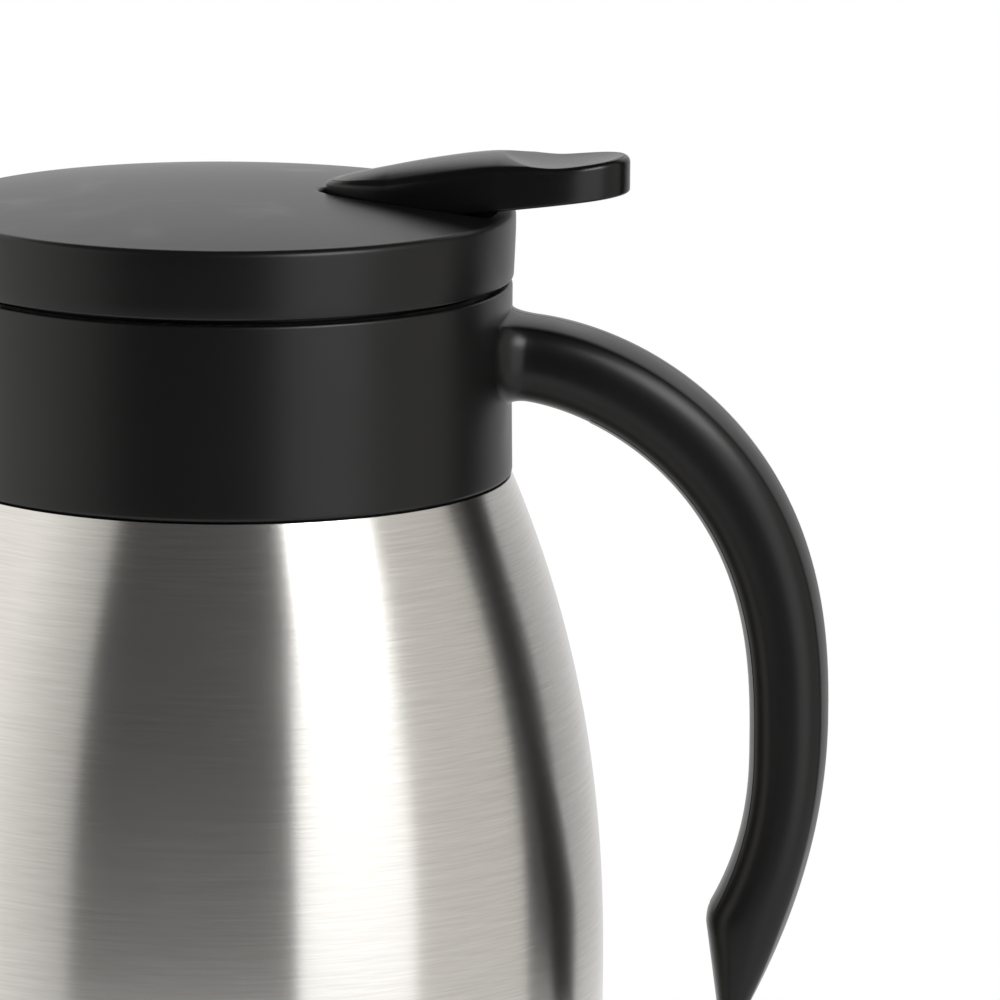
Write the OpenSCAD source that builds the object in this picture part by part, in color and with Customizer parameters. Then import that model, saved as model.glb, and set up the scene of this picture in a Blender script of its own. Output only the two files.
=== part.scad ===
/* [Steel body] */
// Widest outside diameter of the steel body
body_diameter = 134; // [126:1:150]
// Height of the widest ring above the table
widest_height = 116; // [100:1:130]
// Height of the collar's lower edge above the table
collar_height = 206; // [196:1:225]
// How full the shoulder is, larger is squarer
shoulder_fullness = 2.28; // [2:0.02:2.6]
// Outside diameter just above the foot
foot_diameter = 124; // [118:1:128]
// How full the lower body is, larger is straighter
lower_fullness = 2.2; // [1.8:0.1:3]
// Radius of the curve from the side into the underside
foot_radius = 7; // [4:0.5:10]
// Height of the steel's lowest edge above the table
foot_clearance = 1.4; // [0.8:0.1:2]
// Wall of the outer shell
shell_wall = 0.8; // [0.6:0.1:1.2]
// Wall of the inner flask
flask_wall = 0.6; // [0.5:0.1:1]
// Space between shell and flask, emptied of air
vacuum_gap = 4.2; // [3:0.2:6]
// Height of the flask's floor above the table
flask_floor = 12; // [10:0.5:18]
// Radius of the flask's lower corner
flask_corner = 16; // [10:1:24]
// Width of the shell's edge that is turned in under the foot
foot_flange = 3; // [2:0.5:6]
// Thickness of the welded base plate
base_plate = 0.8; // [0.6:0.1:1.2]
// Gap between the silicone base pad and the turned-in edge
pad_gap = 0.5; // [0.3:0.1:1]

/* [Neck] */
// Ledge between the steel neck and the collar's bore
neck_ledge = 5.5; // [4.5:0.1:7]
// Height of the neck above the collar's lower edge
neck_height = 16; // [14:0.5:18]
// Space between the two steel walls at the neck
neck_gap = 1.6; // [1.2:0.1:2]
// Thickness of the welded rim
rim_lip = 0.8; // [0.6:0.1:1.2]
// Depth below the collar's edge where the flask starts to widen
flask_shoulder_drop = 4; // [2:0.5:6]
// Thickness of the neck's silicone ring
neck_gasket_height = 1.4; // [1:0.1:2]
// Wall of the threaded sleeve
sleeve_wall = 1.9; // [1.6:0.1:2.2]
// Depth of the sleeve below the collar's lower edge
sleeve_drop = 9; // [8:0.5:11]
// Thickness of the sleeve's clamping flange
sleeve_flange = 2; // [1.6:0.2:2.4]
// Play between the sleeve and the steel neck
sleeve_play = 0.3; // [0.2:0.05:0.4]

/* [Collar and spout] */
// Outside diameter of the collar
collar_diameter = 100; // [98:0.5:104]
// Height of the collar
collar_rise = 34; // [33:0.5:38]
// Wall of the collar
collar_wall = 2.5; // [2:0.1:3]
// Thickness of the shelf that lies on the steel rim
shelf_thickness = 2.5; // [2:0.1:3]
// Rounding of the collar's lower edge
collar_edge = 1.6; // [1:0.1:2]
// Distance of the spout's lip from the axis
spout_reach = 66; // [60:1:72]
// Inside width of the spout where it leaves the collar
spout_width = 26; // [20:1:32]
// Radius of the spout's lip
spout_lip_radius = 5; // [4:0.5:6]
// Wall of the spout
spout_wall = 2.2; // [1.8:0.1:2.6]
// Height of the spout's belly above the collar's lower edge
spout_belly = 9; // [6:0.5:12]

/* [Handle] */
// Distance of the handle's outer face from the axis
handle_reach = 106; // [100:0.5:112]
// Thickness of the grip seen from the side
grip_thickness = 13.6; // [12:0.2:16]
// Width of the grip
grip_width = 20; // [17:0.5:24]
// Height of the handle's top above the collar's lower edge
handle_top = 28.5; // [24:0.5:30]
// Height of the root's underside above the collar's lower edge
handle_under = 13.7; // [11:0.1:16]
// Depth of the widest point below the collar's lower edge
bulge_drop = 42; // [36:1:48]
// How level the arch's outer line leaves the collar, larger is more level
outer_rise = 1.82; // [1.6:0.02:2.4]
// How square the arch's outer line turns down
outer_fullness = 2.44; // [2:0.02:2.8]
// How level the arch's inner line leaves the collar
inner_rise = 1.66; // [1.5:0.02:2.4]
// How square the arch's inner line turns down
inner_fullness = 2.68; // [2:0.02:3]
// Depth of the hand stop below the collar's lower edge
stop_drop = 77; // [72:0.5:84]
// Distance of the hand stop from the axis
stop_reach = 84.9; // [82:0.5:88]
// Depth of the tail's tip below the collar's lower edge
tail_drop = 102.9; // [96:0.5:108]
// Distance from the axis at which the tail's outer line ends
tail_reach = 87.6; // [86:0.2:92]
// How much further from the axis the tail's inner line would end
tail_lean = 1; // [0:0.2:1.4]
// Radius of the blend between handle and collar
root_blend = 6; // [4:0.5:8]
// Width of the strip that closes the hollow handle
strip_width = 12; // [9:0.5:14]
// Thickness of that strip
strip_thickness = 2.6; // [2:0.1:3.2]
// Wall of the hollow handle
handle_wall = 2.8; // [2.4:0.1:3.4]
// Gap round the strip
strip_gap = 0.15; // [0.1:0.05:0.3]

/* [Lid] */
// How far the lid stands out past the collar
lid_overhang = 0.5; // [0:0.1:1]
// Height of the lid's side
lid_side = 12.1; // [11:0.1:14]
// Rise of the domed top above the lid's rim
dome_rise = 3.4; // [2.5:0.1:4.5]
// Wall of the lid
lid_wall = 2.2; // [1.8:0.1:2.6]
// Rounding of the lid's upper edge
lid_edge = 1.3; // [0.8:0.1:2]
// Gap between lid and collar
lid_gap = 0.5; // [0.3:0.1:0.8]
// Gap between the stopper's plate and the collar's bore
plate_play = 1; // [0.6:0.1:1.5]
// Distance of the sealing ring from the edge of the stopper's plate
lid_ring_inset = 0.2; // [0.1:0.05:0.5]
// Height of the sealing ring between lid and stopper
lid_ring_height = 1.5; // [1:0.1:2]
// Distance of the lid screws from the edge of the stopper's plate
screw_inset = 8.5; // [8:0.1:10]
// Diameter of the lid screws
screw_diameter = 3; // [2.5:0.1:3.5]
// Angle of the first lid screw from the handle
screw_angle = 50; // [45:1:60]
// Outside diameter of the screw bosses
boss_diameter = 8; // [7:0.5:9]

/* [Lever] */
// Distance of the lever's nose from the axis
nose_reach = 17.6; // [15:0.1:20]
// Distance of the lever's tip from the axis
tip_reach = 70.3; // [66:0.1:74]
// Distance of the lever's highest point from the axis
peak_reach = 47.5; // [44:0.5:49]
// Height of the peak above the lid's rim
peak_height = 10.2; // [9.5:0.1:12]
// Rise of the top from the nose to the peak
nose_rise = 5.9; // [5:0.1:7]
// Width of the lever
lever_width = 20; // [18:0.5:23]
// Depth of the thumb dish
dish_depth = 2.2; // [1.5:0.1:3]
// Gap that is left between the pressed lever and the lid's rim
press_clearance = 0.45; // [0.4:0.05:1.2]
// Slope of the underside towards the tip, in degrees
underside_slope = 6.4; // [5:0.1:9]
// Gap between the lever and its opening in the lid
lever_gap = 0.6; // [0.5:0.05:0.9]
// Distance of the hinge pin from the axis
pin_reach = 39.5; // [38:0.5:41]
// Depth of the hinge pin below the lid's rim
pin_depth = 4.6; // [4.2:0.1:5]
// Diameter of the hinge pin
pin_diameter = 3; // [2.5:0.1:3.5]
// Running clearance round pin and stem
running_clearance = 0.05; // [0.02:0.01:0.1]
// Angle that the lever turns when it is pressed
press_angle = 6; // [4:0.5:6]

/* [Stopper and valve] */
// Height of the helical ribs of the thread
thread_depth = 2.1; // [1.8:0.1:2.3]
// Rise of the thread in one turn
thread_lead = 12; // [11:0.5:14]
// Number of thread starts
thread_starts = 3; // [3:1:3]
// Width of one thread rib
thread_rib = 1.5; // [1.2:0.1:1.6]
// Radial play of the thread
thread_play = 0.5; // [0.4:0.05:0.6]
// Wall of the stopper
stopper_wall = 2.4; // [2:0.1:2.8]
// Thickness of the stopper's top plate
plate_thickness = 3; // [2.8:0.1:3.4]
// Height of the pouring windows
window_height = 6.4; // [5:0.2:7]
// Width of the pouring windows
window_width = 24; // [18:1:28]
// Thickness of the valve's seat
seat_thickness = 2.5; // [2:0.1:3]
// Diameter of the hole that the valve closes
valve_hole = 28; // [24:1:32]
// Diameter of the valve disc
valve_diameter = 36; // [35:0.5:38]
// Thickness of the valve disc
valve_thickness = 2; // [1.6:0.1:2.4]
// Height of the valve's silicone ring
valve_seal_height = 1.5; // [1:0.1:2]
// Diameter of the valve's stem
stem_diameter = 5; // [4:0.2:5.6]
// Height of the stopper's silicone ring
stopper_gasket_height = 2; // [1.6:0.1:2.4]
// Mean diameter of the spring
spring_diameter = 14; // [13:0.5:15]
// Diameter of the spring's wire
spring_wire = 0.8; // [0.6:0.1:1]
// Turns of the spring
spring_turns = 8; // [6:1:10]

/* [Hidden] */
$fn = 128;

steel = [0.72, 0.71, 0.69];
black = [0.13, 0.13, 0.13];
grey = [0.45, 0.45, 0.45];

body_r = body_diameter / 2;
foot_r = foot_diameter / 2;
collar_r = collar_diameter / 2;
bore_r = collar_r - collar_wall;
lid_r = collar_r + lid_overhang;
neck_r = bore_r - neck_ledge;
base = collar_height;
pad_height = foot_clearance + shell_wall;
underside_r = foot_r - foot_radius;
opening_r = underside_r - foot_flange;

flask_side_gap = shell_wall + vacuum_gap;
flask_neck_r = neck_r - shell_wall - neck_gap;
mouth_r = flask_neck_r - flask_wall;
flask_shoulder_z = base - flask_shoulder_drop;
rim_z = base + neck_height;
rim_top = rim_z + rim_lip;
shelf_z = rim_top + neck_gasket_height;
flange_z = shelf_z + shelf_thickness;
trough_z = flange_z + sleeve_flange;

sleeve_r = mouth_r - sleeve_play;
sleeve_bore = sleeve_r - sleeve_wall;
barrel_r = sleeve_bore - thread_depth - thread_play;
barrel_bore = barrel_r - stopper_wall;
sleeve_floor = base - sleeve_drop;
sleeve_lip = 2;
gasket_z = sleeve_floor + sleeve_lip;
seat_z = gasket_z + stopper_gasket_height;
seat_top = seat_z + seat_thickness;
spigot_r = barrel_r - 3.9;
spigot_lip = 0.7;
spigot_depth = stopper_gasket_height + 1;
lip_bore = spigot_r + spigot_lip + 0.7;

collar_top = base + collar_rise;
lid_bottom = collar_top + lid_gap;
lid_rim = lid_bottom + lid_side;
plate_top = lid_bottom;
plate_z = plate_top - plate_thickness;
plate_r = bore_r - plate_play;
screw_circle = plate_r - screw_inset;
lid_flat_r = lid_r - lid_edge;
lid_ring_r = plate_r - lid_ring_inset;
lid_ring_width = 1.8;
pocket_r = lid_r - lid_wall - 0.1;

pin_z = lid_rim - pin_depth;
peak_z = lid_rim + peak_height;
half_width = lever_width / 2;
hub_r = pin_diameter / 2 + 1.7;
ear_thickness = 2.5;
ear_inside = half_width + lever_gap + 0.2;
ear_outside = ear_inside + ear_thickness;
pin_length = 2 * ear_outside - 0.4;

stem_r = stem_diameter / 2;
valve_z = seat_top + valve_seal_height;
valve_top = valve_z + valve_thickness;
guide_r = stem_r + 2.5;
guide_length = 11;
ring_height = 1.8;
ring_r = stem_r + 2.5;
ring_groove = 0.6;
fork_gap = 0.1;
fork_slot = stem_r + 0.35;
arm_clearance = 1;
arm_thickness = 2.2;
arm_z = plate_top + arm_clearance + arm_thickness;
nub_r = 1.6;
nub_z = arm_z + 0.6;
ring_z = nub_z + nub_r + fork_gap;
wiper_wire = 0.9;
wiper_r = stem_r + running_clearance + wiper_wire;
wiper_z = plate_top - wiper_wire;

// Points of a path moved sideways by a distance, to its left
function unit(v) = v / norm(v);
function left(v) = [-v[1], v[0]];
function side_step(a, b) = left(unit(b - a));
function corner_step(m, n) = (m + n) / (1 + m * n);
function off_axis(v) = [max(0, v[0]), v[1]];
function moved_path(p, d) = [
    for (i = [0 : len(p) - 1])
        let (
            before = side_step(p[max(i - 1, 0)], p[max(i, 1)]),
            after = side_step(p[min(i, len(p) - 2)], p[min(i + 1, len(p) - 1)])
        )
        off_axis(p[i] + d * corner_step(before, after))
];
function reversed(p) = [for (i = [len(p) - 1 : -1 : 0]) p[i]];
function quarter(centre, a, b, from, to, steps) = [
    for (i = [0 : steps])
        let (t = from + (to - from) * i / steps)
        centre + [a * cos(t), b * sin(t)]
];

// A closed skin through rings of points, with both ends closed by fans
function ring_centre(ring) = [for (k = [0 : 2]) mean(ring, k)];
function mean(ring, k) = total([for (p = ring) p[k]]) / len(ring);
function total(v, i = 0) = i < len(v) ? v[i] + total(v, i + 1) : 0;
module skin(rings) {
    n = len(rings[0]);
    last = len(rings) - 1;
    flat_points = [for (ring = rings) for (p = ring) p];
    start = len(flat_points);
    points = concat(flat_points, [ring_centre(rings[0]), ring_centre(rings[last])]);
    sides = [
        for (i = [0 : last - 1])
            for (j = [0 : n - 1])
                let (a = i * n + j, b = i * n + (j + 1) % n)
                for (face = [[a, b, b + n], [a, b + n, a + n]])
                    face
    ];
    near_end = [for (j = [0 : n - 1]) [start, (j + 1) % n, j]];
    far_end = [for (j = [0 : n - 1]) [start + 1, last * n + j, last * n + (j + 1) % n]];
    polyhedron(points = points, faces = concat(sides, near_end, far_end), convexity = 6);
}

// Radius of the steel body at a height, above and below its widest ring
function shoulder_r(z, wide, top, top_z) =
    wide - (wide - top) * pow(max(z - widest_height, 0) / (top_z - widest_height), shoulder_fullness);
function lower_r(z, wide, low, low_z) =
    wide - (wide - low) * pow(max(widest_height - z, 0) / (widest_height - low_z), lower_fullness);

foot_z = foot_clearance + foot_radius;
side_steps = 24;
shell_path = concat(
    [[opening_r, foot_clearance]],
    quarter([underside_r, foot_z], foot_radius, foot_radius, -90, 0, 8),
    [for (i = [1 : side_steps])
        let (z = foot_z + (widest_height - foot_z) * i / side_steps)
        [lower_r(z, body_r, foot_r, foot_z), z]],
    [for (i = [1 : side_steps])
        let (z = widest_height + (base - 0.8 - widest_height) * i / side_steps)
        [shoulder_r(z, body_r, collar_r, base), z]],
    [[collar_r - 0.5, base - 0.35], [neck_r + 4, base - 0.3]],
    quarter([neck_r + 3.5, base + 4.7], 3.5, 5, 270, 180, 6),
    [[neck_r, rim_z]]
);
flask_low_z = flask_floor + flask_corner;
flask_low_r = lower_r(flask_low_z, body_r, foot_r, foot_z) - flask_side_gap;
flask_path = concat(
    [[0, flask_floor]],
    quarter([flask_low_r - flask_corner, flask_low_z], flask_corner, flask_corner, -90, 0, 10),
    [for (i = [1 : side_steps])
        let (z = flask_low_z + (widest_height - flask_low_z) * i / side_steps)
        [lower_r(z, body_r, foot_r, foot_z) - flask_side_gap, z]],
    [for (i = [1 : side_steps])
        let (z = widest_height + (flask_shoulder_z - widest_height) * i / side_steps)
        [shoulder_r(z, body_r - flask_side_gap, flask_neck_r, flask_shoulder_z), z]],
    [[flask_neck_r, rim_z]]
);

module ring(inner, outer, z, height) {
    translate([0, 0, z])
        rotate_extrude()
            translate([inner, 0])
                square([outer - inner, height]);
}

module base_pad() {
    color(grey)
        cylinder(r = opening_r - pad_gap, h = pad_height);
}

module base_plate_disc() {
    plug_hole = 4;
    color(steel)
        translate([0, 0, pad_height])
            difference() {
                cylinder(r = underside_r, h = base_plate);
                translate([0, 0, -1])
                    cylinder(r = plug_hole, h = base_plate + 2);
            }
}

// Plug that closes the hole through which the air was drawn out
module seal_plug() {
    plug_r = 4;
    head_r = 6;
    color(steel)
        translate([0, 0, pad_height]) {
            cylinder(r = plug_r, h = base_plate);
            translate([0, 0, base_plate])
                cylinder(r = head_r, h = 1.2);
        }
}

// Pill that takes up the last gas in the space between the walls
module getter_pill() {
    pill_r = 5;
    pill_h = 2;
    color(grey)
        translate([24, 0, flask_floor - pill_h])
            cylinder(r = pill_r, h = pill_h);
}

module outer_shell() {
    color(steel)
        rotate_extrude()
            polygon(concat(shell_path, reversed(moved_path(shell_path, shell_wall))));
}

module inner_flask() {
    color(steel) {
        rotate_extrude()
            polygon(concat(flask_path, reversed(moved_path(flask_path, flask_wall))));
        ring(mouth_r, neck_r, rim_z, rim_lip);
    }
}

// Handle: rings across it run from the root round to the tip of the tail
arch_z = base - bulge_drop;
under_drop = bulge_drop + 5;
under_z = base - under_drop;
grip_inside = handle_reach - grip_thickness;
function arch(q, reach, height, rise, fullness) =
    [collar_r + (reach - collar_r) * q, height * pow(1 - pow(q, rise), 1 / fullness)];
function outer_arch(q) = [0, arch_z] + arch(q, handle_reach, handle_top + bulge_drop, outer_rise, outer_fullness);
function inner_arch(q) = [0, under_z] + arch(q, grip_inside, handle_under + under_drop, inner_rise, inner_fullness);
tail_fall = tail_drop - bulge_drop;
function outer_tail(u) = [
    handle_reach - (handle_reach - tail_reach) * u * u,
    arch_z - tail_fall * u
];
stop_share = 0.6;
stop_fall = stop_drop - under_drop;
stop_bow = grip_inside - stop_reach;
function inner_tail(u) =
    u < stop_share
        ? let (v = u / stop_share)
            [grip_inside - stop_bow * pow(v, 2.3), under_z - stop_fall * v]
        : let (v = (u - stop_share) / (1 - stop_share))
            [
                stop_reach + (tail_reach + tail_lean - stop_reach) * v,
                base - stop_drop - (tail_drop - stop_drop) * v
            ];
// Share of the root blend that is left at a distance from the collar
function blend_share(s) = s >= 1 ? 0 : 1 - sqrt(1 - (1 - s) * (1 - s));
grip_half = grip_width / 2;
// Each station holds the inner point, the outer point, the half width and the share wrapped on the collar
root_inset = 0.9;
root_lift = 1.2;
root_station = [
    [collar_r - root_inset, inner_arch(0)[1]],
    [collar_r - root_inset, outer_arch(0)[1] + root_lift],
    grip_half + root_blend,
    1
];
root_stations = [
    for (s = [0.012, 0.05, 0.11, 0.2, 0.32, 0.46, 0.65, 0.9])
        let (
            q = s * root_blend / (handle_reach - collar_r),
            b = blend_share(s)
        )
        [inner_arch(q), outer_arch(q) + [0, root_lift * b], grip_half + root_blend * b, 1 - 0.8 * s]
];
arch_steps = 20;
arch_stations = [
    for (i = [0 : arch_steps - 1])
        let (
            turn = 84 * (1 - i / arch_steps),
            q = pow(cos(turn), 2 / outer_rise)
        )
        [inner_arch(q), outer_arch(q), grip_half, max(0, 0.3 * (1 - i / 2))]
];
tail_steps = 20;
// The tail ends just before its two lines meet
tail_end = 0.95;
tail_stations = [
    for (i = [0 : tail_steps])
        let (u = i / tail_steps * tail_end)
        [inner_tail(u), outer_tail(u), grip_half * (1 - 0.3 * pow(u, 4)), 0]
];
grip_square = 2.6;
function corner_power(c) = sign(c) * pow(abs(c), 2 / grip_square);
function station_point(s, across, out) =
    let (
        y = across * s[2],
        mid = (s[0] + s[1]) / 2 + out * (s[1] - s[0]) / 2,
        wrap = s[3] * (collar_r - sqrt(collar_r * collar_r - y * y))
    )
    [mid[0] - wrap, y, mid[1]];
grip_points = 28;
function grip_ring(s) = [
    for (j = [0 : grip_points - 1])
        let (t = 360 * j / grip_points)
        station_point(s, corner_power(sin(t)), corner_power(cos(t)))
];
handle_stations = concat([root_station], root_stations, arch_stations, tail_stations);
// The hollow runs from the arch's root to the hand stop, with its rings between those of the grip
function between(s, t, k) = [for (i = [0 : 3]) s[i] + (t[i] - s[i]) * k];
hollow_first = 2;
hollow_last = arch_steps + 11;
hollow_shift = 0.4;
grip_stations = concat(arch_stations, tail_stations);
hollow_stations = [
    for (i = [hollow_first : hollow_last])
        between(grip_stations[i], grip_stations[i + 1], hollow_shift)
];
// How far out the grip's face lies at a distance across
function face_out(y, half) = -pow(1 - pow(abs(y) / half, grip_square), 1 / grip_square);
function out_at(s, depth) = -1 + 2 * depth / norm(s[1] - s[0]);
function hollow_ring(s) =
    let (half = strip_width / 2 / s[2], deep = 1 - 2 * handle_wall / norm(s[1] - s[0]))
    [
        station_point(s, -half, -1.6),
        station_point(s, -half, deep - 0.2),
        station_point(s, -half * 0.6, deep),
        station_point(s, half * 0.6, deep),
        station_point(s, half, deep - 0.2),
        station_point(s, half, -1.6)
    ];
strip_half = strip_width / 2 - strip_gap;
function strip_ring(s) = concat(
    [for (j = [-4 : 4])
        let (y = -strip_half * j / 4)
        station_point(s, y / s[2], face_out(y, s[2]))],
    [for (side = [-1, 1]) station_point(s, side * strip_half / s[2], out_at(s, strip_thickness))]
);
// The strip stops short of the hollow's ends by its gap
function station_middle(s) = (s[0] + s[1]) / 2;
function toward(s, t) = between(s, t, strip_gap / norm(station_middle(t) - station_middle(s)));
hollow_count = len(hollow_stations);
strip_stations = concat(
    [toward(hollow_stations[0], hollow_stations[1])],
    [for (i = [1 : hollow_count - 2]) hollow_stations[i]],
    [toward(hollow_stations[hollow_count - 1], hollow_stations[hollow_count - 2])]
);

module spout_outside() {
    root_half = spout_width / 2 + spout_wall;
    low_z = base + spout_belly;
    difference() {
        hull() {
            intersection() {
                translate([0, 0, low_z])
                    cylinder(r = collar_r - 0.6, h = collar_top - low_z, $fn = 64);
                translate([-collar_r, -root_half, low_z])
                    cube([12, 2 * root_half, collar_top - low_z]);
            }
            translate([-spout_reach + spout_lip_radius, 0, collar_top - 3])
                cylinder(r = spout_lip_radius, h = 3, $fn = 32);
        }
        translate([0, 0, base])
            cylinder(r = collar_r - 1, h = collar_rise + 1);
    }
}

module spout_channel() {
    lip_r = spout_lip_radius - spout_wall;
    above = 2;
    hull() {
        translate([-collar_r, -spout_width / 2, trough_z])
            cube([8, spout_width, collar_top + above - trough_z]);
        translate([-spout_reach + spout_lip_radius, 0, collar_top - 1.2])
            cylinder(r = lip_r, h = above + 1.2, $fn = 32);
    }
}

module collar_ring() {
    edge_r = collar_r + 0.2;
    rotate_extrude()
        polygon(concat(
            [[bore_r, base]],
            quarter([edge_r - collar_edge, base + collar_edge], collar_edge, collar_edge, -90, 0, 6),
            [[edge_r, base + 3], [collar_r, base + 3.4]],
            quarter([collar_r - 0.7, collar_top - 0.7], 0.7, 0.7, 0, 90, 4),
            [
                [bore_r, collar_top],
                [bore_r, flange_z],
                [mouth_r + 0.4, flange_z],
                [mouth_r + 0.4, shelf_z],
                [bore_r, shelf_z]
            ]
        ));
}

module collar() {
    color(black)
        difference() {
            union() {
                collar_ring();
                spout_outside();
                skin([for (s = handle_stations) grip_ring(s)]);
            }
            spout_channel();
            skin([for (s = hollow_stations) hollow_ring(s)]);
        }
}

module handle_strip() {
    color(black)
        skin([for (s = strip_stations) strip_ring(s)]);
}

module neck_gasket() {
    color(grey)
        ring(mouth_r + 0.4, neck_r + 0.6, rim_top, neck_gasket_height);
}

// One helical rib, from the wall that carries it to its crest
thread_step = 10;
function rib_section(root, crest) = [
    [root, -thread_rib / 2],
    [crest, -thread_rib * 0.3],
    [crest, thread_rib * 0.3],
    [root, thread_rib / 2]
];
module helical_rib(root, crest, start, span, z) {
    section = root < crest ? rib_section(root, crest) : reversed(rib_section(root, crest));
    steps = ceil(span / thread_step);
    skin([
        for (i = [0 : steps])
            let (turn = span * i / steps)
            [for (p = section)
                [
                    p[0] * cos(start + turn),
                    p[0] * sin(start + turn),
                    z + p[1] + thread_lead * turn / 360
                ]]
    ]);
}
start_turn = 360 / thread_starts;
pitch = thread_lead / thread_starts;
sleeve_rib_z = base + 5;
stopper_rib_z = sleeve_rib_z - pitch / 2;
rib_root = 0.4;
rib_start = 2;
rib_lag = 10;
rib_gap = 30;

module thread_sleeve() {
    flange_r = bore_r - 0.3;
    color(grey) {
        rotate_extrude()
            polygon([
                [lip_bore, sleeve_floor],
                [sleeve_r + 0.7, sleeve_floor],
                [sleeve_r + 0.7, sleeve_floor + 1.4],
                [sleeve_r, sleeve_floor + 2.4],
                [sleeve_r, flange_z],
                [flange_r, flange_z],
                [flange_r, trough_z],
                [sleeve_bore, trough_z],
                [sleeve_bore, gasket_z],
                [lip_bore, gasket_z]
            ]);
        for (i = [0 : thread_starts - 1])
            helical_rib(sleeve_bore + rib_root, sleeve_bore - thread_depth, i * start_turn + rib_start, start_turn - 4, sleeve_rib_z);
    }
}

module stopper_gasket() {
    color(grey)
        ring(spigot_r + 0.3, barrel_r - 0.2, gasket_z, stopper_gasket_height);
}

module screw_places() {
    for (side = [0, 1], mirrored = [0, 1])
        rotate(side * 180 + (mirrored * 2 - 1) * screw_angle)
            translate([screw_circle, 0, 0])
                children();
}
screw_head_r = screw_diameter / 2 + 1.4;
screw_head = 1.7;

// Plate that is welded on the four posts between the pouring windows and carries the stem's guide
module stopper_plate() {
    stem_bore = stem_r + running_clearance;
    color(black)
        difference() {
            union() {
                translate([0, 0, plate_z])
                    cylinder(r = plate_r, h = plate_thickness);
                translate([0, 0, plate_z - guide_length])
                    cylinder(r = guide_r, h = guide_length + 1);
            }
            translate([0, 0, plate_z - guide_length - 1])
                cylinder(r = stem_bore, h = guide_length + plate_thickness + 2);
            translate([0, 0, plate_top - 2 * wiper_wire])
                cylinder(r = wiper_r + wiper_wire, h = 3);
            screw_places() {
                translate([0, 0, plate_z - 1])
                    cylinder(d = screw_diameter, h = plate_thickness + 2, $fn = 32);
                translate([0, 0, plate_z - 1])
                    cylinder(r = screw_head_r, h = screw_head + 1, $fn = 32);
            }
        }
}

module stopper() {
    window_z = plate_z - window_height;
    color(black) {
        difference() {
            rotate_extrude()
                polygon([
                    [valve_hole / 2, seat_z],
                    [spigot_r - 2, seat_z],
                    [spigot_r - 2, seat_z - spigot_depth],
                    [spigot_r + spigot_lip, seat_z - spigot_depth],
                    [spigot_r + spigot_lip, seat_z - stopper_gasket_height - 0.3],
                    [spigot_r, seat_z - stopper_gasket_height - 0.3],
                    [spigot_r, seat_z],
                    [barrel_r, seat_z],
                    [barrel_r, plate_z],
                    [barrel_bore, plate_z],
                    [barrel_bore, seat_top],
                    [valve_hole / 2, seat_top]
                ]);
            for (turn = [0, 90])
                rotate(turn)
                    translate([-barrel_r - 1, -window_width / 2, window_z])
                        cube([2 * barrel_r + 2, window_width, window_height + 2]);
        }
        for (i = [0 : thread_starts - 1])
            helical_rib(
                barrel_r - rib_root,
                barrel_r + thread_depth,
                i * start_turn + rib_start + rib_lag,
                start_turn - rib_gap,
                stopper_rib_z + pitch * rib_lag / start_turn
            );
    }
}

// Plan of the lever: a narrow nose, a full middle and a round tip
function lever_half(x, extra = 0) =
    x < peak_reach
        ? let (t = min(1, (peak_reach - x) / (peak_reach - nose_reach + extra)))
            (half_width + extra) * sqrt(max(0, 1 - pow(t, 2.2)))
        : let (t = min(1, (x - peak_reach) / (tip_reach - peak_reach + extra)))
            (half_width + extra) * (1 - 0.1 * t) * sqrt(max(0, 1 - pow(t, 5)));
dish_start = peak_reach + 0.3;
dish_end = tip_reach + 0.5;
function dish_share(x) = x < dish_start || x > dish_end ? 0 : pow(sin(180 * (x - dish_start) / (dish_end - dish_start)), 2);
function lever_mid(x) =
    x < peak_reach
        ? peak_z - nose_rise * pow((peak_reach - x) / (peak_reach - nose_reach), 1.4)
        : peak_z - dish_depth * dish_share(x);
// The top's edges lie lower than its middle before the peak, and rise to the tip behind it
edge_fall = 1.6;
crown = 0.45;
crown_length = 14;
function lever_edge(x) =
    x < peak_reach
        ? let (s = (peak_reach - x) / (peak_reach - nose_reach))
            lever_mid(x) - (edge_fall + crown * sin(180 * s)) * min(1, pow((x - nose_reach) / crown_length, 0.8))
        : peak_z - edge_fall * (1 - pow((x - peak_reach) / (tip_reach - peak_reach), 2));
press_fall = (lid_r - pin_reach) * tan(press_angle);
underside_tip = lid_rim + press_fall + press_clearance + (tip_reach - lid_r) * tan(underside_slope);
lever_low = lid_rim - 0.6;
nose_low = 3.6;
nose_bend = 30;
function lever_under(x) =
    let (line = max(lever_low, underside_tip - (tip_reach - x) * tan(underside_slope)))
    x < nose_bend ? line + nose_low * pow((nose_bend - x) / (nose_bend - nose_reach), 2.5) : line;
function lever_ring(x) =
    let (
        w = max(lever_half(x), 0.4),
        low = lever_under(x),
        edge = lever_edge(x),
        mid = lever_mid(x),
        r = min(1, 0.3 * (edge - low))
    )
    concat(
        [[x, -w + r * 0.8, low], [x, -w, low + r], [x, -w, edge - r]],
        [for (j = [-5 : 5])
            let (y = w * 0.94 * j / 5)
            [x, y, mid + (edge - mid) * pow(y / w, 2)]],
        [[x, w, edge - r], [x, w, low + r], [x, w - r * 0.8, low]]
    );
lever_steps = 40;
lever_middle = (nose_reach + tip_reach) / 2;
lever_length = tip_reach - nose_reach;
function lever_station(i) = lever_middle - lever_length / 2 * cos(180 * (i + 0.35) / (lever_steps + 0.7));

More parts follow.
